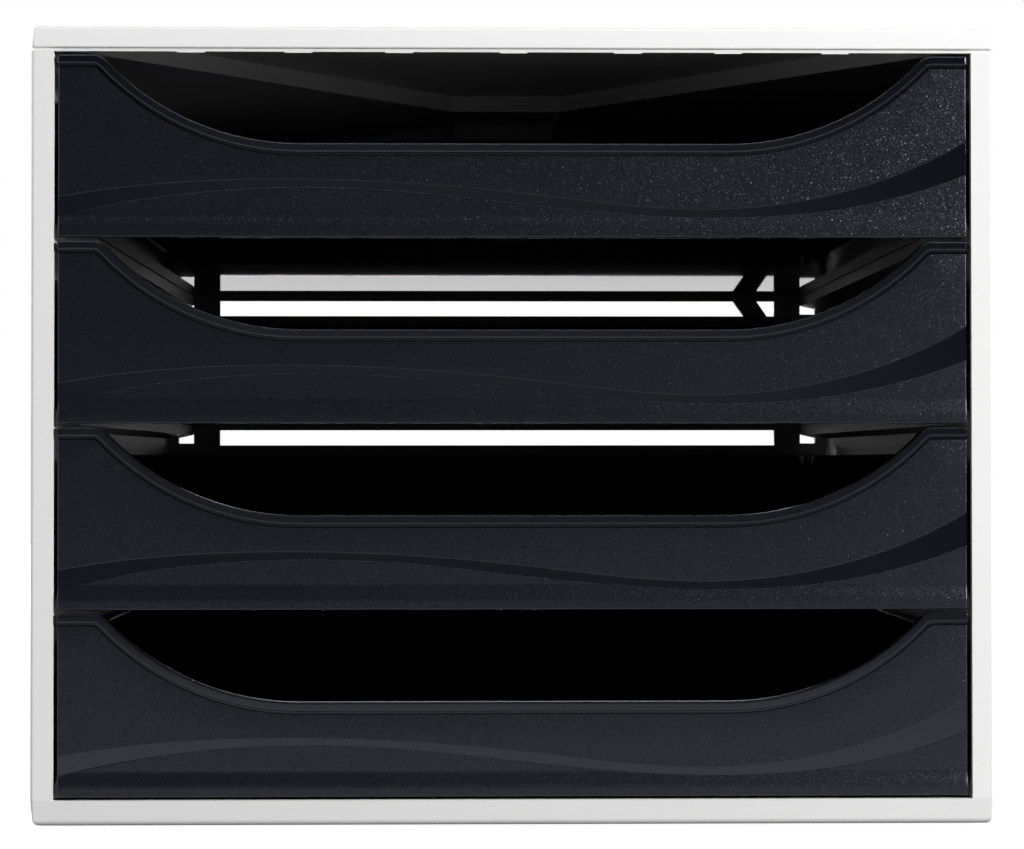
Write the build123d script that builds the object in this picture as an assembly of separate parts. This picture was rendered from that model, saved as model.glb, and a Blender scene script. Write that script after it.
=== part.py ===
"""Desktop drawer box: a light casing of five moulded panels round four open letter drawers.

Millimetres, +Z up, front facing -Y. The origin lies under the middle of the box, on the
surface that its rubber feet stand on.
"""
import os
from math import atan, degrees, sqrt

from build123d import *

# Casing, overall
casing_width = 284.0
casing_depth = 348.0
panel_skin = 2.2          # flat wall of every casing panel
flange_wall = 2.4         # upright wall round each panel's edge
side_border = 6.6         # how far a side panel's border stands in from its outer face
corner_round = 1.0        # upright outer corners
seat_gap = 0.2            # play between casing panels that slot together

# Cover and base: shallow trays whose open sides face each other
cover_height = 7.4
base_height = 7.5
edge_lean = 0.8           # how far a tray's edge leans in over its height
cover_edge_round = 1.2
base_edge_round = 2.0
lip_height = 0.9          # thin lip under the cover's edge, set back behind a shadow line
lip_setback = 0.8
lip_round = 0.6
pad_places = (0.0, 33.8, 63.5, 95.2)   # pads under the front lip, each side of the middle
pad_width = 8.1
pad_drop = 0.3

# Stiffening ribs inside both trays: an X whose arms end at a small middle rectangle
brace_wall = 1.6
brace_corner_inset = 13.3  # arm's end at the front or rear flange, in from the outer side face
brace_middle_width = 38.0
brace_middle_length = 79.0

# Snap hooks on the side panels, under catches in the trays
hook_end_inset = 54.0     # outer hooks' middles, in from the front and the rear
hook_length = 12.0
hook_wall = 1.8
hook_height = 4.4
hook_inset = 0.3          # hook's inner face, out from the border's inner face
nose_reach = 1.2
nose_underside = 2.4
nose_tip = 0.6            # upright face of the nose
catch_height = 1.2
catch_gap = 0.4           # between the hook's shaft and the catch
catch_overrun = 1.0       # how far a catch runs past each end of its hook

# Rows of drawers
drawer_count = 4
front_height = 53.8
row_gap = 1.1             # between one front and the next
bottom_gap = 0.9          # between base and lowest front
top_gap = 1.0             # between highest front and cover

# Drawer fronts
front_side_gap = 1.2      # between front and side panel
front_wall = 3.0
front_edge_round = 0.5
front_back_bevel = 0.5
scoop_land = 12.7         # level top edge from the front's end to the finger scoop's corner
scoop_depth = 26.0
scoop_radius = 78.0
shoulder_radius = 5.3     # where the scoop meets the top edge
rim_height = 2.7          # raised bead along the top edge
rim_proud = 1.0
rim_bevel = 0.35
groove_width = 1.0        # dark groove under the bead
groove_depth = 0.7
strip_proud = 0.5         # lower strip of the face, ahead of the rest
strip_flat = 2.3          # its upright part, below an S-shaped shoulder
shoulder_swell = 3.0      # height of the shoulder's rounded lower part
shoulder_hollow = 2.1     # height of its hollow upper part
wave_depth = 0.25
# Shallow wave across the face: share of the half width, and height above the lower edge
wave_upper = ((-1.0, 12.0), (-0.56, 17.3), (0.02, 13.3), (0.45, 8.6), (0.67, 12.0), (1.0, 28.9))
wave_lower = ((-1.0, 5.9), (-0.56, 14.4), (-0.34, 14.4), (0.09, 8.8), (0.52, 5.9), (1.0, 18.7))

# Drawer tub behind the front
floor_lift = 4.0          # floor's underside above the front's lower edge
floor_wall = 2.0
tub_wall = 2.0
tub_side_inset = 0.9      # tub's widest, at its top edge, in from the front's ends
tub_drop = 7.8            # top edge of sides and rear below the top edge of the front
tub_lean = 1.0            # how far each wall leans out over its height
tub_corner = 8.0
tub_floor_round = 1.6
tub_edge_bevel = 0.5
rear_gap = 1.2            # between a closed drawer and the back panel
gate_mark_diameter = 17.0
gate_mark_depth = 0.6
gate_mark_setback = 62.0  # behind the casing's front

# Runners on the side panels, and the drawers' stops
running_gap = 0.25        # between runner and drawer floor
runner_reach = 6.2        # in from the border's inner face
runner_tip = 4.0
runner_root = 5.4
runner_start_gap = 0.6    # behind the drawer's front
travel = 250.0
stop_gap = 0.3            # left between stop and border at full travel
stop_reach = 1.8          # past the border's inner face
stop_foot = 4.0           # above the floor's underside
stop_height = 8.0
stop_flat = 3.0
stop_ramp = 9.0

# Back panel
back_wall = 2.2
slot_height = 6.4
slot_drop = 1.4           # slot's middle below the lower edge of the front above
window_width = 6.4        # small opening beside each end of a finger slot
window_height = 3.8
window_post = 11.0        # between window and slot
web_width = 10.0          # slanted web across the highest slot
web_inset = 12.8          # web's middle at its top, in from the slot's end
web_slant = 5.0

# Feet
foot_diameter = 15.6
foot_taper = 0.8
foot_proud = 1.0
foot_pocket_depth = 0.6
foot_pocket_gap = 0.3
foot_inset = 24.0         # foot's centre, in from the outer faces
foot_bevel = 0.3

# Modelling allowances
overlap = 0.4             # how far a moulded-on feature is sunk into its own wall
margin = 1.0              # how far a cutting block runs past what it cuts
touch = 0.01              # two positions nearer than this are the same

# Worked out from the above
half_width = casing_width / 2
half_depth = casing_depth / 2
hook_places = (hook_end_inset - half_depth, 0.0, half_depth - hook_end_inset)
inner_half = half_width - side_border
skin_inner_half = half_width - panel_skin
flange_inner_half = half_width - flange_wall
flange_inner_depth = half_depth - flange_wall
side_height = bottom_gap + drawer_count * front_height + (drawer_count - 1) * row_gap + top_gap
side_bottom = foot_proud + base_height
side_top = side_bottom + side_height
row_pitch = front_height + row_gap
back_rear = flange_inner_depth - seat_gap
back_front = back_rear - back_wall
slot_half = inner_half - seat_gap - window_width - window_post
front_width = 2 * (inner_half - front_side_gap)
scoop_run = sqrt(scoop_radius**2 - (scoop_radius - scoop_depth) ** 2)
scoop_flat = front_width - 2 * (scoop_land + scoop_run)
face_y = -half_depth + rim_proud
face_back_y = face_y + front_wall
strip_y = face_y - strip_proud
strip_top = strip_flat + shoulder_swell + shoulder_hollow
tub_half = front_width / 2 - tub_side_inset - tub_lean
tub_rear = back_front - rear_gap - tub_lean
tub_height = front_height - tub_drop - floor_lift
tub_angle = degrees(atan(tub_lean / tub_height))


def row_bottom(row):
    """Height of the lower edge of a front; row 0 is the highest."""
    return side_bottom + bottom_gap + (drawer_count - 1 - row) * row_pitch


def along_y(sketch, y0, y1):
    """Extrude a sketch of X and Z from y0 back to y1."""
    return extrude(Plane((0, y1, 0), x_dir=(1, 0, 0), z_dir=(0, -1, 0)) * sketch, y1 - y0)


def polygon(*points):
    """Flat face with straight edges."""
    return make_face(Polyline(*points, close=True))


def slab(x0, x1, z0, z1):
    """Rectangle in a sketch of X and Z, from its limits."""
    return Pos((x0 + x1) / 2, (z0 + z1) / 2) * Rectangle(x1 - x0, z1 - z0)


def brace_plan():
    """Plan of the stiffening ribs, kept clear of the back panel."""
    half_x, half_y = brace_middle_width / 2, brace_middle_length / 2
    plan = Rectangle(2 * half_x + brace_wall, 2 * half_y + brace_wall)
    plan -= Rectangle(2 * half_x - brace_wall, 2 * half_y - brace_wall)
    for side in (-1, 1):
        for end in (-1, 1):
            outer = (side * (half_width - brace_corner_inset), end * flange_inner_depth)
            plan += trace(Line(outer, (side * half_x, end * half_y)), brace_wall)
    clear_rear = back_front - seat_gap
    front_edge = -flange_inner_depth - overlap
    middle = (front_edge + clear_rear) / 2
    return plan & (Pos(0, middle) * Rectangle(casing_width, clear_rear - front_edge))


def catches():
    """Ledges on the long flanges that the side panels' hooks snap under."""
    near = inner_half + hook_inset + hook_wall + catch_gap
    far = flange_inner_half + overlap
    top = nose_underside - seat_gap
    section = slab(near, far, top - catch_height, top)
    half = hook_length / 2 + catch_overrun
    bars = [along_y(section, y - half, y + half) for y in hook_places]
    return bars + [mirror(bar, about=Plane.YZ) for bar in bars]


def edge_tray(height, edge_round):
    """Shallow tray, open below: leaning edges, flat skin, stiffening ribs and catches."""
    lean = degrees(atan(edge_lean / height))
    tray = extrude(RectangleRounded(casing_width, casing_depth, corner_round), height, taper=lean)
    tray = fillet(tray.faces().sort_by(Axis.Z)[-1].edges(), edge_round)
    tray -= extrude(Rectangle(2 * flange_inner_half, 2 * flange_inner_depth), height - panel_skin)
    tray += extrude(brace_plan(), height - panel_skin + overlap)
    return tray + catches()


def top_cover():
    """Cover: a tray with a set-back lip below its edge and small pads under the front lip."""
    cover = edge_tray(cover_height, cover_edge_round)
    outside = Rectangle(casing_width + margin, casing_depth + margin)
    lip = Rectangle(casing_width - 2 * lip_setback, casing_depth - 2 * lip_setback)
    cover -= extrude(outside - lip, lip_height)
    lower_edges = [
        edge for edge in cover.edges()
        if abs(edge.center().Z - lip_height) < touch
        and max(abs(edge.center().X) - half_width, abs(edge.center().Y) - half_depth) > -lip_setback / 2
    ]
    cover = fillet(lower_edges, lip_round)
    for place in pad_places:
        pad = slab(place - pad_width / 2, place + pad_width / 2, -pad_drop, overlap)
        pad = along_y(pad, -half_depth + lip_setback, -flange_inner_depth)
        cover += pad
        if place:
            cover += mirror(pad, about=Plane.YZ)
    return Pos(0, 0, side_top) * cover


def foot_centres():
    """Names and places of the four feet."""
    x, y = half_width - foot_inset, half_depth - foot_inset
    return {
        "foot_front_left": (-x, -y),
        "foot_front_right": (x, -y),
        "foot_rear_left": (-x, y),
        "foot_rear_right": (x, y),
    }


def base_plate():
    """Base: the same tray turned over, with a round pocket below for each foot."""
    base = mirror(edge_tray(base_height, base_edge_round), about=Plane.XY)
    base = Pos(0, 0, side_bottom) * base
    pocket = extrude(Circle(foot_diameter / 2 + foot_pocket_gap), foot_pocket_depth)
    for x, y in foot_centres().values():
        base -= Pos(x, y, foot_proud) * pocket
    return base


def rubber_foot(x, y):
    """Low rubber disc, narrower where it meets the table."""
    height = foot_proud + foot_pocket_depth
    foot = Pos(0, 0, height / 2) * Cone(foot_diameter / 2 - foot_taper, foot_diameter / 2, height)
    foot = chamfer(foot.edges().sort_by(Axis.Z)[0], foot_bevel)
    return Pos(x, y, 0) * foot


def runner(row):
    """Ledge that a drawer's floor slides on, with a slanted underside and a lead-in at the front."""
    top = row_bottom(row) + floor_lift - running_gap
    tip = inner_half - runner_reach
    root = skin_inner_half + overlap
    section = polygon(
        (tip, top), (root, top), (root, top - runner_root), (inner_half, top - runner_root),
        (tip, top - runner_tip),
    )
    start = face_back_y + runner_start_gap
    ledge = along_y(section, -flange_inner_depth, back_front - seat_gap)
    lead_in = polygon(
        (tip - margin, -half_depth), (inner_half, -half_depth), (inner_half, start),
        (tip, start + runner_reach), (tip - margin, start + runner_reach),
    )
    return ledge - Pos(0, 0, top - runner_root) * extrude(lead_in, runner_root + margin)


def hook(edge):
    """Snap hook along a side panel's upper or lower edge, pointing up."""
    inner = inner_half + hook_inset
    outer = inner + hook_wall
    nose = outer + nose_reach
    section = polygon(
        (inner, edge - overlap), (outer, edge - overlap), (outer, edge + nose_underside),
        (nose, edge + nose_underside), (nose, edge + nose_underside + nose_tip),
        (outer, edge + hook_height), (inner, edge + hook_height),
    )
    return [along_y(section, y - hook_length / 2, y + hook_length / 2) for y in hook_places]


def side_panel_right():
    """Side panel: flat skin with a border round it, one runner for each drawer, and snap hooks."""
    middle = (side_bottom + side_top) / 2
    inward = Plane((half_width, 0, middle), x_dir=(0, 1, 0), z_dir=(-1, 0, 0))
    outline = Rectangle(casing_depth, side_height)
    opening = Rectangle(casing_depth - 2 * flange_wall, side_height - 2 * flange_wall)
    panel = extrude(inward * outline, panel_skin)
    panel += extrude(inward * (outline - opening), side_border)
    corners = panel.edges().filter_by(Axis.Z).group_by(Axis.X)[-1]
    panel = fillet(corners, corner_round)
    hooks = hook(side_top)
    mid_plane = Plane((0, 0, middle))
    panel += hooks + [mirror(one, about=mid_plane) for one in hooks]
    below = extrude(Plane((0, 0, side_bottom)) * Rectangle(casing_width, casing_depth), -runner_root)
    for row in range(drawer_count):
        panel += runner(row) - below
    return panel


def back_panel():
    """Back panel: flat plate held behind the borders, with finger slots and small windows."""
    wide_half = skin_inner_half - seat_gap
    narrow_half = inner_half - seat_gap
    wide_inset = flange_wall + seat_gap
    plate = slab(-wide_half, wide_half, side_bottom + wide_inset, side_top - wide_inset)
    low = foot_proud + panel_skin + seat_gap
    high = side_top + cover_height - panel_skin - seat_gap
    plate += slab(-narrow_half, narrow_half, low, high)
    for row in range(drawer_count - 1):
        middle = row_bottom(row) - slot_drop
        plate -= slab(-slot_half, slot_half, middle - slot_height / 2, middle + slot_height / 2)
        window = slab(narrow_half - window_width, narrow_half, -window_height, 0)
        window = Pos(0, row_bottom(row)) * window
        plate -= window
        plate -= mirror(window, about=Plane.YZ)
    top = row_bottom(0) - slot_drop + slot_height / 2 + overlap
    bottom = top - slot_height - 2 * overlap
    left = slot_half - web_inset - web_width / 2
    right = left + web_width
    plate += polygon(
        (left, top), (right, top), (right + web_slant, bottom), (left + web_slant, bottom)
    )
    return along_y(plate, back_front, back_rear)


def front_outline(drop=0.0):
    """Drawer front seen from ahead, its top edge and scoop lowered by drop."""
    top = front_height - drop
    face = slab(-front_width / 2, front_width / 2, 0, top)
    scoop_centre = front_height - scoop_depth + scoop_radius
    face -= Pos(0, scoop_centre) * SlotCenterToCenter(scoop_flat, 2 * (scoop_radius + drop))
    shoulders = [
        corner for corner in face.vertices()
        if abs(corner.Y - top) < touch and abs(corner.X) < front_width / 2 - touch
    ]
    return fillet(shoulders, shoulder_radius - drop)


def wave():
    """Shallow ornament cut: the band between two flowing curves, run off both ends."""
    half = front_width / 2
    upper = Spline(*[(share * half, height) for share, height in wave_upper])
    lower = Spline(*[(share * half, height) for share, height in wave_lower])
    left = Line(lower @ 0, upper @ 0)
    right = Line(upper @ 1, lower @ 1)
    return along_y(make_face([upper, right, lower, left]), face_y - margin, face_y + wave_depth)


def face_border(plate):
    """Upright and lowest edges of a front's face."""
    facing = [edge for edge in plate.edges() if edge.center().Y < face_y + touch]
    return [
        edge for edge in facing
        if edge.center().Z < touch or abs(edge.center().X) > front_width / 2 - touch
    ]


def top_border(plate):
    """Edges along the top and the scoop at the back of a front."""
    back = plate.faces().sort_by(Axis.Y)[-1]
    return [
        edge for edge in back.edges()
        if edge.center().Z > touch and abs(edge.center().X) < front_width / 2 - touch
    ]


def above_strip():
    """Space ahead of the face, above the foot strip and its S-shaped shoulder."""
    crease = strip_flat + shoulder_swell
    crease_y = strip_y + strip_proud * shoulder_swell / (shoulder_swell + shoulder_hollow)
    ahead_y = face_y - 2 * strip_proud
    section = make_face([
        Polyline((strip_y, strip_flat), (ahead_y, strip_flat), (ahead_y, front_height + margin),
                 (face_y, front_height + margin), (face_y, strip_top)),
        TangentArc((face_y, strip_top), (crease_y, crease), tangent=(0, -1)),
        TangentArc((strip_y, strip_flat), (crease_y, crease), tangent=(0, 1)),
    ])
    across = Plane((-half_width, 0, 0), x_dir=(0, 1, 0), z_dir=(1, 0, 0))
    return extrude(across * section, casing_width)


def drawer_front():
    """Front: scooped plate with a grooved bead along the top, a proud foot strip and the wave."""
    plate = along_y(front_outline(), strip_y, face_back_y) - above_strip()
    groove = front_outline(rim_height) - front_outline(rim_height + groove_width)
    plate = fillet(face_border(plate), front_edge_round)
    plate = chamfer(top_border(plate), front_back_bevel)
    plate -= along_y(groove, face_y - margin, face_y + groove_depth)
    plate -= wave()
    rim = along_y(front_outline() - front_outline(rim_height), face_y - rim_proud, face_y + overlap)
    rim = chamfer(rim.faces().sort_by(Axis.Y)[0].edges(), rim_bevel)
    return plate + rim


def tub_plan(inset, front_y):
    """Plan of the tub at a given inset from its foot outline, open towards the front."""
    half = tub_half - inset
    rear = tub_rear - inset
    plan = Pos(0, (front_y + rear) / 2) * Rectangle(2 * half, rear - front_y)
    return fillet(plan.vertices().sort_by(Axis.Y)[-2:], tub_corner - inset)


def rounded_floor(block, bottom, front_y, radius):
    """Round the lower edges of a tub block, except along its front."""
    edges = [
        edge for edge in block.edges()
        if abs(edge.center().Z - bottom) < touch and edge.center().Y > front_y + touch
    ]
    return fillet(edges, radius)


def stop_lug():
    """Stop on the tub's right wall: square in front, ramped behind so that it can be pushed in."""
    front = -flange_inner_depth + travel + stop_gap
    reach = inner_half + stop_reach
    root = tub_half - tub_wall / 2
    plan = polygon((root, front), (reach, front), (reach, front + stop_flat), (root, front + stop_ramp))
    return Pos(0, 0, floor_lift + stop_foot) * extrude(plan, stop_height)


def drawer():
    """One drawer, moulded whole, with the lower edge of its front at height 0."""
    rise = tub_lean * floor_wall / tub_height
    front_y = face_back_y - front_wall / 2
    outer = extrude(tub_plan(0, front_y), tub_height, taper=-tub_angle)
    outer = rounded_floor(outer, 0, front_y, tub_floor_round)
    top_edges = outer.faces().sort_by(Axis.Z)[-1].edges()
    outer = chamfer([edge for edge in top_edges if edge.center().Y > front_y + touch], tub_edge_bevel)
    open_front = face_y - front_wall
    inner = extrude(tub_plan(tub_wall - rise, open_front), tub_height - floor_wall, taper=-tub_angle)
    inner = rounded_floor(inner, 0, open_front, tub_floor_round)
    tub = outer - Pos(0, 0, floor_wall) * inner
    gate_mark = Pos(0, gate_mark_setback - half_depth) * Circle(gate_mark_diameter / 2)
    tub -= extrude(gate_mark, gate_mark_depth)
    tub = Pos(0, 0, floor_lift) * tub
    lug = stop_lug()
    return tub + drawer_front() + lug + mirror(lug, about=Plane.YZ)


def build():
    """All pieces by node name."""
    right = side_panel_right()
    pieces = {
        "top_cover": top_cover(),
        "base_plate": base_plate(),
        "side_panel_right": right,
        "side_panel_left": mirror(right, about=Plane.YZ),
        "back_panel": back_panel(),
    }
    for name, (x, y) in foot_centres().items():
        pieces[name] = rubber_foot(x, y)
    one_drawer = drawer()
    for row in range(drawer_count):
        pieces[f"drawer_{row + 1}"] = Pos(0, 0, row_bottom(row)) * one_drawer
    return pieces


os.makedirs("parts", exist_ok=True)
for name, piece in build().items():
    export_step(piece, f"parts/{name}.step")
    print(name, "volume", round(piece.volume), "solids", len(piece.solids()))
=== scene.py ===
"""Studio picture of a desktop drawer box: a light casing round four dark letter drawers.

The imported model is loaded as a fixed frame. Every piece keeps the mesh that it has there; the
classes below give each one its finish (mould grain, polish, soft edges, dust and handling) and
set up a plain studio with the camera where the photograph was taken. Lengths are in metres and
the box faces -Y.
"""
import logging
import math
from dataclasses import dataclass
from enum import Enum

import bpy
from mathutils import Euler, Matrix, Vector

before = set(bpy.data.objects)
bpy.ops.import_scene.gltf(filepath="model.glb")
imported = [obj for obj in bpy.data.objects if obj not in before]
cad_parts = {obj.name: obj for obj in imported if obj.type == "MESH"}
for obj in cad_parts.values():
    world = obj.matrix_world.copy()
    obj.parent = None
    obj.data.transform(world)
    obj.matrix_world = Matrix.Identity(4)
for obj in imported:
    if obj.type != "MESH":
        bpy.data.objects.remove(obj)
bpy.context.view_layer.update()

MM = 0.001

logging.basicConfig(level=logging.INFO, format="%(message)s")
log = logging.getLogger("drawer_box")

Colour = tuple[float, float, float]
Point = tuple[float, float, float]


class Noise(Enum):
    """Which of Blender's noises a texture node makes."""

    FRACTAL = "ShaderNodeTexNoise"
    CELLS = "ShaderNodeTexVoronoi"


class Wall(Enum):
    """Which surface of a drawer a face of its mesh belongs to."""

    TUB = 0
    FACE = 1
    POLISHED = 2
    SATIN = 3


class Graph:
    """Adds and wires nodes in one node tree."""

    mix_first, mix_second, mix_result = 6, 7, 2     # colour sockets of the Mix node, by number

    def __init__(self, tree: bpy.types.NodeTree) -> None:
        """Take the tree to build in, emptied.

        Args:
            tree: the node tree of a material, world or node group.
        """
        self.tree = tree
        tree.nodes.clear()

    def node(self, kind: str, inputs: dict | None = None, **settings: object) -> bpy.types.Node:
        """Add a node.

        Args:
            kind: the node's type name.
            inputs: value or source socket for each input, by its name or number.
            settings: attributes of the node itself.

        Returns:
            The new node.
        """
        made = self.tree.nodes.new(kind)
        for name, value in settings.items():
            setattr(made, name, value)
        for name, value in (inputs or {}).items():
            self.feed(made.inputs[name], value)
        return made

    def feed(self, target: bpy.types.NodeSocket, value: object) -> None:
        """Give an input its value, or wire it to a source socket.

        Args:
            target: the input.
            value: a number, a colour or vector, or another node's output.
        """
        if isinstance(value, bpy.types.NodeSocket):
            self.tree.links.new(value, target)
        elif isinstance(value, tuple) and len(value) == 3 and target.type == "RGBA":
            target.default_value = (*value, 1.0)
        else:
            target.default_value = value

    def math(self, operation: str, *terms: object, clamp: bool = False) -> bpy.types.NodeSocket:
        """Combine numbers or sockets.

        Args:
            operation: the Math node's operation.
            terms: one to three numbers or sockets.
            clamp: hold the result between 0 and 1.

        Returns:
            The result's socket.
        """
        inputs = dict(enumerate(terms))
        return self.node("ShaderNodeMath", inputs, operation=operation, use_clamp=clamp).outputs[0]

    def span(self, value: object, low: float, high: float, start: object,
             end: object) -> bpy.types.NodeSocket:
        """Map a value from one range to another, smoothly and held at the ends.

        Args:
            value: the socket to map.
            low: value that gives start.
            high: value that gives end.
            start: result at low.
            end: result at high.

        Returns:
            The result's socket.
        """
        inputs = {"Value": value, "From Min": low, "From Max": high, "To Min": start, "To Max": end}
        mapped = self.node("ShaderNodeMapRange", inputs, interpolation_type="SMOOTHSTEP")
        return mapped.outputs["Result"]

    def noise(self, place: object, per_metre: float, detail: float = 2.0,
              kind: Noise = Noise.FRACTAL) -> bpy.types.Node:
        """Add a noise texture.

        Args:
            place: the socket of its coordinates.
            per_metre: its scale.
            detail: octaves, for fractal noise.
            kind: which noise.

        Returns:
            The texture node.
        """
        inputs = {"Vector": place, "Scale": per_metre}
        if kind is Noise.FRACTAL:
            inputs["Detail"] = detail
        return self.node(kind.value, inputs)

    def blend(self, share: object, first: object, second: object) -> bpy.types.NodeSocket:
        """Mix two colours.

        Args:
            share: how much of the second.
            first: colour or socket at 0.
            second: colour or socket at 1.

        Returns:
            The mixed colour's socket.
        """
        mix = self.node("ShaderNodeMix", data_type="RGBA")
        self.feed(mix.inputs["Factor"], share)
        self.feed(mix.inputs[self.mix_first], first)
        self.feed(mix.inputs[self.mix_second], second)
        return mix.outputs[self.mix_result]

    def vector(self, operation: str, inputs: dict, output: str = "Vector") -> bpy.types.NodeSocket:
        """Combine vectors.

        Args:
            operation: the Vector Math node's operation.
            inputs: value or source socket for each input, by its name or number.
            output: the name of the output wanted.

        Returns:
            The result's socket.
        """
        return self.node("ShaderNodeVectorMath", inputs, operation=operation).outputs[output]


class Group:
    """A shader node group with named sockets, built once and placed in many materials."""

    name = ""
    sockets_in: dict[str, str] = {}
    sockets_out: dict[str, str] = {}

    def __init__(self) -> None:
        """Make the group's tree and its sockets, then its inside."""
        self.tree = bpy.data.node_groups.new(self.name, "ShaderNodeTree")
        for name, kind in self.sockets_in.items():
            self.tree.interface.new_socket(name, in_out="INPUT", socket_type=kind)
        for name, kind in self.sockets_out.items():
            self.tree.interface.new_socket(name, in_out="OUTPUT", socket_type=kind)
        graph = Graph(self.tree)
        given = graph.node("NodeGroupInput").outputs
        results = self.build(graph, given)
        graph.node("NodeGroupOutput", results)

    def build(self, graph: Graph, given: object) -> dict[str, object]:
        """Build the group's inside.

        Args:
            graph: the group's graph.
            given: the group's inputs, by name.

        Returns:
            A source socket for each of the group's outputs.
        """
        raise NotImplementedError

    def place(self, graph: Graph, inputs: dict[str, object]) -> bpy.types.Node:
        """Place the group in a material.

        Args:
            graph: the material's graph.
            inputs: value or socket for each input.

        Returns:
            The group node.
        """
        made = graph.node("ShaderNodeGroup", node_tree=self.tree)
        for name, value in inputs.items():
            graph.feed(made.inputs[name], value)
        return made


FLOAT = "NodeSocketFloat"
VECTOR = "NodeSocketVector"
COLOUR = "NodeSocketColor"
NOISE_MIDDLE = 0.5              # mean of every noise here, whose values run from 0 to 1


class MouldGrain(Group):
    """Spark-eroded mould grain: fine pits, and broad patches a little lighter or darker."""

    name = "mould_grain"
    sockets_in = {"Vector": VECTOR, "Grains per metre": FLOAT, "Unevenness": FLOAT}
    sockets_out = {"Height": FLOAT, "Mottle": FLOAT}
    grain_octaves = 3.0
    pit_share = 0.6             # depth of the cells' pits, of the fine noise's height
    mottle_per_metre = 55.0
    mottle_octaves = 4.0

    def build(self, graph: Graph, given: object) -> dict[str, object]:
        """Layer fine noise over cells, with a broad noise for the patches."""
        place, scale = given["Vector"], given["Grains per metre"]
        fine = graph.noise(place, scale, detail=self.grain_octaves).outputs[0]
        cells = graph.noise(place, scale, kind=Noise.CELLS)
        pits = graph.math("MULTIPLY", cells.outputs["Distance"], self.pit_share)
        height = graph.math("ADD", fine, pits)
        broad = graph.noise(place, self.mottle_per_metre, detail=self.mottle_octaves).outputs[0]
        centred = graph.math("SUBTRACT", broad, NOISE_MIDDLE)
        mottle = graph.math("MULTIPLY", centred, given["Unevenness"])
        return {"Height": height, "Mottle": mottle}


class Glitter(Group):
    """Flat facets of a grained mould: each cell of the surface leans its own small way."""

    name = "facet_glitter"
    sockets_in = {"Vector": VECTOR, "Normal": VECTOR, "Facets per metre": FLOAT, "Lean": FLOAT}
    sockets_out = {"Normal": VECTOR}

    def build(self, graph: Graph, given: object) -> dict[str, object]:
        """Add to the normal a random direction for each cell, most of them short."""
        cells = graph.noise(given["Vector"], given["Facets per metre"], kind=Noise.CELLS)
        middle = (NOISE_MIDDLE, NOISE_MIDDLE, NOISE_MIDDLE)
        centred = graph.vector("SUBTRACT", {0: cells.outputs["Color"], 1: middle})
        length = graph.vector("LENGTH", {0: centred}, output="Value")
        reach = graph.math("MULTIPLY", graph.math("MULTIPLY", length, length), given["Lean"])
        lean = graph.vector("SCALE", {0: centred, "Scale": reach})
        tilted = graph.vector("ADD", {0: given["Normal"], 1: lean})
        return {"Normal": graph.vector("NORMALIZE", {0: tilted})}


@dataclass(frozen=True)
class FrontShape:
    """Where the edges of a drawer's face lie, for the soft rounding next to them."""

    lowest: float = 9.4 * MM            # lower edge of the lowest face, over the table
    pitch: float = 54.9 * MM            # from one face to the next
    height: float = 53.8 * MM
    half_width: float = 134.2 * MM
    scoop_flat: float = 63.4 * MM       # half of the scoop's straight floor
    scoop_middle: float = 105.8 * MM    # its arcs' centres, over the face's lower edge
    scoop_radius: float = 78.0 * MM
    bead: float = 3.7 * MM              # width of the bead and its groove
    swell: float = 9.0 * MM             # reach of the rounding from an edge
    edge_fall: float = 0.30 * MM        # height lost at the bead
    end_fall: float = 0.08 * MM         # and at the face's ends
    shoulder: tuple[float, float] = (7.8 * MM, 2.4 * MM)    # heights between which it rises
    shoulder_swell: float = 0.45 * MM


class Pillow(Group):
    """Height of a drawer's face, soft towards its bead, its ends and the foot strip's shoulder."""

    name = "face_pillow"
    sockets_in = {"Vector": VECTOR}
    sockets_out = {"Height": FLOAT}
    shape = FrontShape()

    def fall_off(self, graph: Graph, distance: object, fall: float) -> bpy.types.NodeSocket:
        """Height lost at a distance from an edge.

        Args:
            graph: the group's graph.
            distance: the distance's socket.
            fall: the height lost at the edge itself.

        Returns:
            The socket of the height lost, in metres.
        """
        share = graph.math("DIVIDE", distance, self.shape.swell)
        near = graph.math("SUBTRACT", 1.0, share, clamp=True)
        return graph.math("MULTIPLY", graph.math("MULTIPLY", near, near), fall)

    def build(self, graph: Graph, given: object) -> dict[str, object]:
        """Take the distance to the bead along the top and scoop, and to the face's ends."""
        shape = self.shape
        axes = graph.node("ShaderNodeSeparateXYZ", {"Vector": given["Vector"]}).outputs
        sideways = graph.math("ABSOLUTE", axes[0])
        raised = graph.math("SUBTRACT", axes[2], shape.lowest)
        height = graph.math("FLOORED_MODULO", raised, shape.pitch)
        from_top = graph.math("SUBTRACT", shape.height, height)
        beyond = graph.math("MAXIMUM", graph.math("SUBTRACT", sideways, shape.scoop_flat), 0.0)
        below = graph.math("SUBTRACT", shape.scoop_middle, height)
        across, up = graph.math("MULTIPLY", beyond, beyond), graph.math("MULTIPLY", below, below)
        from_middle = graph.math("SQRT", graph.math("ADD", across, up))
        from_scoop = graph.math("SUBTRACT", from_middle, shape.scoop_radius)
        edge = graph.math("SUBTRACT", graph.math("MINIMUM", from_top, from_scoop), shape.bead)
        end = graph.math("SUBTRACT", shape.half_width, sideways)
        by_edge = self.fall_off(graph, edge, shape.edge_fall)
        by_end = self.fall_off(graph, end, shape.end_fall)
        lost = graph.math("ADD", by_edge, by_end)
        proud = graph.span(height, *shape.shoulder, 0.0, shape.shoulder_swell)
        return {"Height": graph.math("SUBTRACT", proud, lost)}


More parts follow.
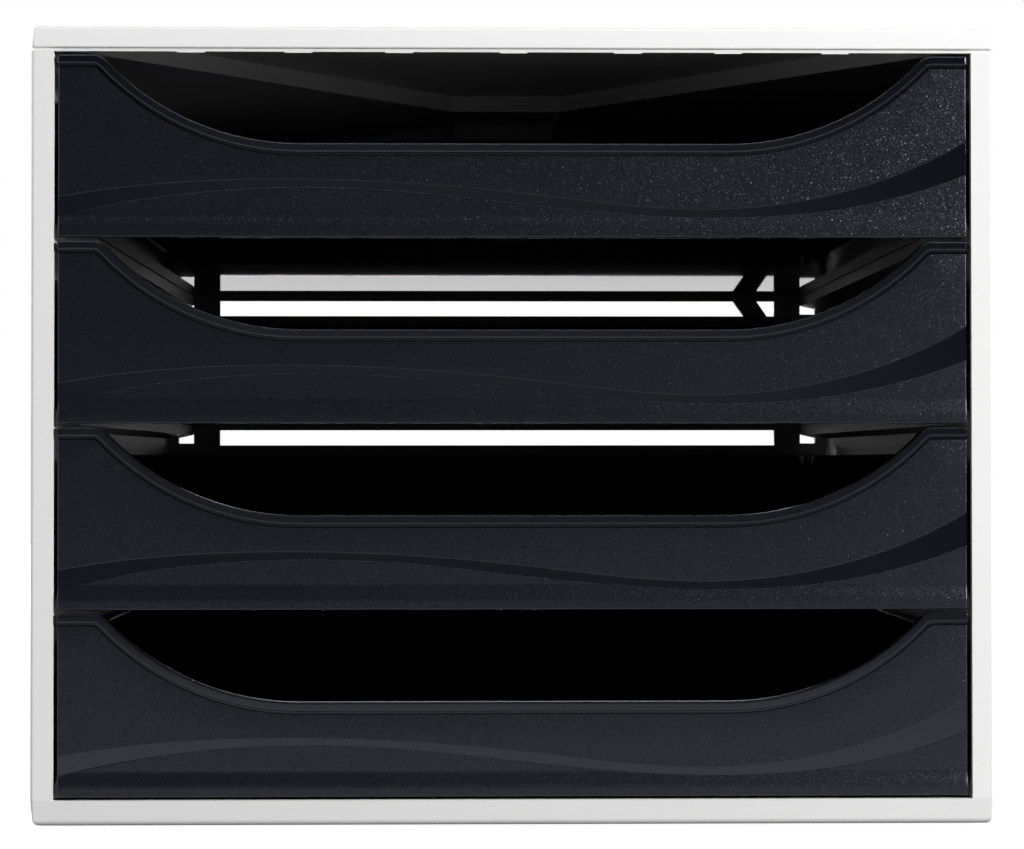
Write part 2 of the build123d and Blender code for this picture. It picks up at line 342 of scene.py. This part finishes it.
class Settled(Group):
    """Dust on what faces up, and smears from handling."""

    name = "settled_dust"
    sockets_in = {
        "Vector": VECTOR, "Normal": VECTOR, "Colour": COLOUR, "Roughness": FLOAT,
        "Dust": FLOAT, "Smears": FLOAT,
    }
    sockets_out = {"Colour": COLOUR, "Roughness": FLOAT}
    dust_colour: Colour = (0.42, 0.41, 0.39)
    lying_from, lying_full = 0.35, 0.95     # upward lean where dust begins, and where it is full
    speck_per_metre = 900.0
    speck_octaves = 3.0
    speck_from, speck_full = 0.45, 0.75     # noise between which a speck forms
    film_share = 0.25                       # even film of dust between the specks
    smear_per_metre = 18.0
    smear_octaves = 5.0
    dust_roughness = 0.5                    # roughness that full dust adds

    def build(self, graph: Graph, given: object) -> dict[str, object]:
        """Lay dust by the surface's upward lean, and change the roughness in broad patches."""
        upward = graph.node("ShaderNodeSeparateXYZ", {"Vector": given["Normal"]}).outputs[2]
        lying = graph.span(upward, self.lying_from, self.lying_full, 0.0, 1.0)
        specks = graph.noise(
            given["Vector"], self.speck_per_metre, detail=self.speck_octaves,
        ).outputs[0]
        grainy = graph.span(specks, self.speck_from, self.speck_full, self.film_share, 1.0)
        cover = graph.math("MULTIPLY", lying, grainy)
        share = graph.math("MULTIPLY", cover, given["Dust"], clamp=True)
        colour = graph.blend(share, given["Colour"], self.dust_colour)
        broad = graph.noise(
            given["Vector"], self.smear_per_metre, detail=self.smear_octaves,
        ).outputs[0]
        centred = graph.math("SUBTRACT", broad, NOISE_MIDDLE)
        patches = graph.math("MULTIPLY", centred, given["Smears"])
        roughness = graph.math("ADD", given["Roughness"], patches)
        dusty = graph.math("MULTIPLY", share, self.dust_roughness)
        return {"Colour": colour, "Roughness": graph.math("ADD", roughness, dusty, clamp=True)}


@dataclass(frozen=True)
class Plastic:
    """Finish of one moulded surface."""

    name: str
    colour: Colour
    roughness: float
    grain_per_metre: float
    grain_depth: float
    grain_strength: float
    unevenness: float                   # of the colour, from patch to patch
    dust: float
    smears: float
    specular: float = 0.5
    tint: Colour = (1.0, 1.0, 1.0)      # of what it mirrors
    rounding: float = 0.0               # radius that its edges seem to have
    rounding_samples: int = 6
    pillowed: bool = False              # a drawer's face, soft next to its edges
    facet_lean: tuple[float, float] = (0.0, 0.0)        # below and above lean_heights
    lean_heights: tuple[float, float] = (0.15, 0.19)
    facets_per_metre: float = 3800.0

    def material(self, shop: "Finishes") -> bpy.types.Material:
        """Build the finish's material.

        Args:
            shop: the finishes, whose shared groups it uses.

        Returns:
            The material.
        """
        grain, settled = shop.grain, shop.settled
        made = bpy.data.materials.new(self.name)
        made.use_nodes = True
        graph = Graph(made.node_tree)
        place = graph.node("ShaderNodeTexCoord").outputs["Object"]
        normal = graph.node("ShaderNodeNewGeometry").outputs["Normal"]
        pits = grain.place(graph, {
            "Vector": place, "Grains per metre": self.grain_per_metre, "Unevenness": self.unevenness,
        })
        lift = graph.math("ADD", pits.outputs["Mottle"], NOISE_MIDDLE)
        darker = tuple(c * (1 - self.unevenness) for c in self.colour)
        lighter = tuple(c * (1 + self.unevenness) for c in self.colour)
        base = graph.blend(lift, darker, lighter)
        worn = settled.place(graph, {
            "Vector": place, "Normal": normal, "Colour": base, "Roughness": self.roughness,
            "Dust": self.dust, "Smears": self.smears,
        })
        lie = normal
        if self.rounding:
            lie = graph.node(
                "ShaderNodeBevel", {"Radius": self.rounding}, samples=self.rounding_samples,
            ).outputs["Normal"]
        if self.pillowed:
            swell = shop.pillow.place(graph, {"Vector": place})
            lie = graph.node("ShaderNodeBump", {
                "Height": swell.outputs["Height"], "Strength": 1.0, "Distance": 1.0,
            }).outputs["Normal"]
        if any(self.facet_lean):
            height = graph.node("ShaderNodeSeparateXYZ", {"Vector": place}).outputs[2]
            lie = shop.glitter.place(graph, {
                "Vector": place, "Normal": lie, "Facets per metre": self.facets_per_metre,
                "Lean": graph.span(height, *self.lean_heights, *self.facet_lean),
            }).outputs["Normal"]
        bump = graph.node("ShaderNodeBump", {
            "Height": pits.outputs["Height"], "Strength": self.grain_strength,
            "Distance": self.grain_depth, "Normal": lie,
        })
        shader = graph.node("ShaderNodeBsdfPrincipled", {
            "Base Color": worn.outputs["Colour"], "Roughness": worn.outputs["Roughness"],
            "Normal": bump.outputs["Normal"], "Specular IOR Level": self.specular,
            "Specular Tint": self.tint,
        })
        graph.node("ShaderNodeOutputMaterial", {"Surface": shader.outputs[0]})
        return made


CASING = Plastic(
    "casing_light_grey", colour=(0.76, 0.76, 0.755), roughness=0.5, grain_per_metre=2600.0,
    grain_depth=0.03 * MM, grain_strength=0.35, unevenness=0.012, dust=0.05, smears=0.05,
)
DRAWER_TINT: Colour = (0.86, 0.90, 1.0)
DRAWER_FACE = Plastic(
    "drawer_face_grained", colour=(0.0032, 0.0037, 0.0062), roughness=0.34, grain_per_metre=1500.0,
    grain_depth=0.02 * MM, grain_strength=0.2, unevenness=0.12, dust=0.01, smears=0.05,
    facet_lean=(0.52, 0.85), pillowed=True, tint=DRAWER_TINT,
)
DRAWER_POLISHED = Plastic(
    "drawer_polished", colour=(0.0036, 0.0042, 0.0070), roughness=0.13, grain_per_metre=900.0,
    grain_depth=0.004 * MM, grain_strength=0.1, unevenness=0.1, dust=0.01, smears=0.04,
    specular=0.62, tint=DRAWER_TINT, rounding=0.6 * MM,
)
DRAWER_TUB = Plastic(
    "drawer_tub_gloss", colour=(0.0030, 0.0034, 0.0052), roughness=0.03, grain_per_metre=90.0,
    grain_depth=0.01 * MM, grain_strength=0.01, unevenness=0.1, dust=0.0, smears=0.01,
    tint=DRAWER_TINT,
)
DRAWER_SATIN = Plastic(
    "drawer_wall_satin", colour=(0.0030, 0.0034, 0.0052), roughness=0.55, grain_per_metre=900.0,
    grain_depth=0.02 * MM, grain_strength=0.2, unevenness=0.1, dust=0.0, smears=0.05,
    tint=DRAWER_TINT,
)
RUBBER = Plastic(
    "foot_rubber_dark", colour=(0.028, 0.028, 0.030), roughness=0.85, grain_per_metre=2400.0,
    grain_depth=0.06 * MM, grain_strength=0.5, unevenness=0.12, specular=0.3, dust=0.12, smears=0.05,
)


class Finishes:
    """Every material, made once from its finish."""

    def __init__(self) -> None:
        """Build the shared groups; materials are made when first asked for."""
        self.grain = MouldGrain()
        self.settled = Settled()
        self.glitter = Glitter()
        self.pillow = Pillow()
        self.made: dict[str, bpy.types.Material] = {}

    def of(self, finish: Plastic) -> bpy.types.Material:
        """Give the material of a finish.

        Args:
            finish: the finish.

        Returns:
            Its material.
        """
        if finish.name not in self.made:
            self.made[finish.name] = finish.material(self)
        return self.made[finish.name]


def wear(piece: bpy.types.Object, *materials: bpy.types.Material) -> None:
    """Put materials in a piece's slots, the first on all its faces.

    Args:
        piece: the piece.
        materials: its materials, in the order of their slots.
    """
    piece.data.materials.clear()
    for material in materials:
        piece.data.materials.append(material)


@dataclass
class Casing:
    """The light casing: cover, base, two side panels and the back panel."""

    nodes: dict[str, bpy.types.Object]
    panels: tuple[str, ...] = (
        "top_cover", "base_plate", "side_panel_left", "side_panel_right", "back_panel",
    )

    def dress(self, finishes: Finishes) -> list[str]:
        """Finish the casing's panels.

        Args:
            finishes: the material shop.

        Returns:
            The names of the pieces dressed.
        """
        for name in self.panels:
            wear(self.nodes[name], finishes.of(CASING))
        return list(self.panels)


@dataclass
class Feet:
    """The four rubber feet under the base."""

    nodes: dict[str, bpy.types.Object]
    prefix: str = "foot_"

    def dress(self, finishes: Finishes) -> list[str]:
        """Finish the feet.

        Args:
            finishes: the material shop.

        Returns:
            The names of the pieces dressed.
        """
        names = sorted(name for name in self.nodes if name.startswith(self.prefix))
        for name in names:
            wear(self.nodes[name], finishes.of(RUBBER))
        return names


@dataclass
class Drawer:
    """One moulded drawer: a grained face, a polished bead and wave, and a glossy tub."""

    node: bpy.types.Object
    face_from: float = 0.45 * MM    # foot strip's upright part, behind the bead's front
    face_to: float = 1.1 * MM       # flat face, behind the bead's front
    front_wall: float = 3.95 * MM   # back of the front, behind the bead's front
    facing: float = -0.9            # a face's normal along Y, when it faces ahead
    upright: float = 0.7            # and when it stands across the drawer

    def wall_of(self, face: bpy.types.MeshPolygon, front_y: float) -> Wall:
        """Tell which surface a mesh face belongs to.

        Args:
            face: the mesh face.
            front_y: the Y of the bead's front.

        Returns:
            The surface.
        """
        behind = face.center.y - front_y
        if behind > self.front_wall:
            return Wall.SATIN if abs(face.normal.y) > self.upright else Wall.TUB
        if face.normal.y < self.facing and self.face_from < behind < self.face_to:
            return Wall.FACE
        return Wall.POLISHED

    def dress(self, finishes: Finishes) -> str:
        """Finish the drawer, surface by surface.

        Args:
            finishes: the material shop.

        Returns:
            The drawer's name.
        """
        by_wall = {
            Wall.TUB: DRAWER_TUB, Wall.FACE: DRAWER_FACE, Wall.POLISHED: DRAWER_POLISHED,
            Wall.SATIN: DRAWER_SATIN,
        }
        wear(self.node, *(finishes.of(by_wall[wall]) for wall in Wall))
        front_y = min(vertex.co.y for vertex in self.node.data.vertices)
        for face in self.node.data.polygons:
            face.material_index = self.wall_of(face, front_y).value
        return self.node.name


@dataclass(frozen=True)
class Softbox:
    """A rectangular lamp that looks at a point."""

    name: str
    place: Point
    aim: Point
    width: float
    height: float
    watts: float

    def build(self) -> bpy.types.Object:
        """Make the lamp.

        Returns:
            The lamp's object.
        """
        data = bpy.data.lights.new(self.name, "AREA")
        data.shape = "RECTANGLE"
        data.size, data.size_y = self.width, self.height
        data.energy = self.watts
        lamp = bpy.data.objects.new(self.name, data)
        lamp.location = self.place
        toward = Vector(self.aim) - Vector(self.place)
        lamp.rotation_euler = toward.to_track_quat("-Z", "Y").to_euler()
        bpy.context.scene.collection.objects.link(lamp)
        return lamp


@dataclass(frozen=True)
class Studio:
    """White floor, softboxes, and the white room with the walls that polished plastic mirrors.

    The floor throws little light up, so that the box stays dark inside as in the photograph.
    """

    floor_size: float = 6.0
    seen_paper: Colour = (0.40, 0.40, 0.40)   # share of the floor that shows the shadow
    seen_glow: float = 0.95                   # and its even share
    bounced_paper: Colour = (0.09, 0.09, 0.09)  # floor as it lights the box from below
    mirrored_near: float = 0.8                # floor in polished plastic, close to the box
    mirrored_far: float = 0.03                # and further ahead
    paper_reach: tuple[float, float] = (-0.30, -1.30)
    ceiling_light: float = 0.10               # room on matt surfaces, from above
    wall_light: float = 0.01                  # and from level with the box
    ceiling_from: tuple[float, float] = (0.1, 0.6)      # upward lean between which it grows
    room_mirrored: float = 0.008              # as polished surfaces mirror the room's sides
    ahead_mirrored: float = 0.32              # and the part straight ahead of the box
    ahead_from: tuple[float, float] = (-0.975, -0.999)  # lean along Y between which it grows
    behind_mirrored: float = 1.7              # and the part behind the box
    behind_from: tuple[float, float] = (0.80, 0.95)
    softboxes: tuple[Softbox, ...] = (
        Softbox("key_right", (1.75, -1.55, 0.88), (0.0, -0.15, 0.05), 0.8, 0.8, 82.0),
        Softbox("fill_left", (-1.8, -1.5, 0.85), (0.0, -0.1, 0.05), 0.8, 0.7, 5.0),
        Softbox("overhead", (0.0, -0.75, 1.5), (0.0, -0.1, 0.1), 1.2, 0.2, 4.4),
        Softbox("side_left", (-2.2, 0.35, 0.8), (0.0, 0.0, 0.1), 0.8, 0.7, 40.0),
        Softbox("rear", (-0.3, 2.3, 0.8), (0.0, 0.1, 0.1), 0.8, 0.7, 42.0),
    )

    def sheet(self, name: str, corners: list[Point], material: bpy.types.Material) -> bpy.types.Object:
        """Make a flat sheet that isn't part of the object.

        Args:
            name: its name.
            corners: its four corners in order.
            material: its material.

        Returns:
            The sheet.
        """
        mesh = bpy.data.meshes.new(name)
        mesh.from_pydata(corners, [], [tuple(range(len(corners)))])
        mesh.materials.append(material)
        made = bpy.data.objects.new(name, mesh)
        bpy.context.scene.collection.objects.link(made)
        return made

    def floor_material(self) -> bpy.types.Material:
        """White floor: near white to the camera, with the object's shadow kept.

        Returns:
            The material.
        """
        made = bpy.data.materials.new("studio_floor")
        made.use_nodes = True
        graph = Graph(made.node_tree)
        paths = graph.node("ShaderNodeLightPath").outputs
        bounced = graph.node("ShaderNodeBsdfDiffuse", {"Color": self.bounced_paper})
        place = graph.node("ShaderNodeNewGeometry").outputs["Position"]
        ahead = graph.node("ShaderNodeSeparateXYZ", {"Vector": place}).outputs[1]
        paper = graph.span(ahead, *self.paper_reach, self.mirrored_near, self.mirrored_far)
        mirrored = graph.node("ShaderNodeEmission", {"Strength": paper})
        seen = graph.node("ShaderNodeBsdfDiffuse", {"Color": self.seen_paper})
        glow = graph.node("ShaderNodeEmission", {"Strength": self.seen_glow})
        lit = graph.node("ShaderNodeAddShader", {0: seen.outputs[0], 1: glow.outputs[0]})
        mix = graph.node("ShaderNodeMixShader", {
            0: paths["Is Glossy Ray"], 1: bounced.outputs[0], 2: mirrored.outputs[0],
        })
        mix = graph.node("ShaderNodeMixShader", {
            0: paths["Is Camera Ray"], 1: mix.outputs[0], 2: lit.outputs[0],
        })
        graph.node("ShaderNodeOutputMaterial", {"Surface": mix.outputs[0]})
        return made

    def room(self) -> None:
        """Make the world: white to the camera, dim on matt surfaces and in polished ones."""
        world = bpy.data.worlds.new("studio_room")
        world.use_nodes = True
        bpy.context.scene.world = world
        graph = Graph(world.node_tree)
        paths = graph.node("ShaderNodeLightPath").outputs
        toward = graph.node("ShaderNodeSeparateXYZ", {
            "Vector": graph.node("ShaderNodeTexCoord").outputs["Generated"],
        }).outputs
        above = graph.span(toward[2], *self.ceiling_from, self.wall_light, self.ceiling_light)
        matt = graph.node("ShaderNodeBackground", {"Strength": above})
        ahead = graph.span(toward[1], *self.ahead_from, self.room_mirrored, self.ahead_mirrored)
        behind = graph.span(toward[1], *self.behind_from, 0.0, self.behind_mirrored)
        mirrored = graph.node("ShaderNodeBackground", {"Strength": graph.math("ADD", ahead, behind)})
        white = graph.node("ShaderNodeBackground", {"Color": (1.0, 1.0, 1.0), "Strength": 1.0})
        mix = graph.node("ShaderNodeMixShader", {
            0: paths["Is Glossy Ray"], 1: matt.outputs[0], 2: mirrored.outputs[0],
        })
        mix = graph.node("ShaderNodeMixShader", {
            0: paths["Is Camera Ray"], 1: mix.outputs[0], 2: white.outputs[0],
        })
        graph.node("ShaderNodeOutputWorld", {"Surface": mix.outputs[0]})

    def build(self) -> None:
        """Make the floor, lamps and room."""
        half = self.floor_size / 2
        floor = [(-half, -half, 0), (half, -half, 0), (half, half, 0), (-half, half, 0)]
        self.sheet("studio_floor", floor, self.floor_material())
        for softbox in self.softboxes:
            softbox.build()
        self.room()


@dataclass(frozen=True)
class PhotoCamera:
    """The camera of the photograph, fitted to points on the box's front."""

    place: Point = (-0.01562, -0.94868, 0.10854)
    yaw: float = 1.114          # degrees towards +X from straight ahead
    pitch: float = 0.764        # degrees up
    roll: float = 0.022
    lens: float = 92.47         # millimetres, on the sensor's width
    sensor: float = 36.0

    def build(self) -> bpy.types.Object:
        """Make the camera and use it for the scene.

        Returns:
            The camera's object.
        """
        data = bpy.data.cameras.new("photo_camera")
        data.sensor_fit = "HORIZONTAL"
        data.sensor_width = self.sensor
        data.lens = self.lens
        made = bpy.data.objects.new("photo_camera", data)
        made.location = self.place
        turn = Euler((math.radians(90 + self.pitch), math.radians(self.roll), math.radians(-self.yaw)))
        made.rotation_euler = turn
        bpy.context.scene.collection.objects.link(made)
        bpy.context.scene.camera = made
        return made


def main() -> None:
    """Dress every piece of the box and set up the studio."""
    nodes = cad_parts
    finishes = Finishes()
    for name in Casing(nodes).dress(finishes):
        log.info("casing piece %s", name)
    for name in Feet(nodes).dress(finishes):
        log.info("foot %s", name)
    for name in sorted(name for name in nodes if name.startswith("drawer_")):
        log.info("drawer %s", Drawer(nodes[name]).dress(finishes))
    Studio().build()
    PhotoCamera().build()
    bpy.context.scene.view_settings.view_transform = "Standard"


if __name__ == "__main__":
    main()
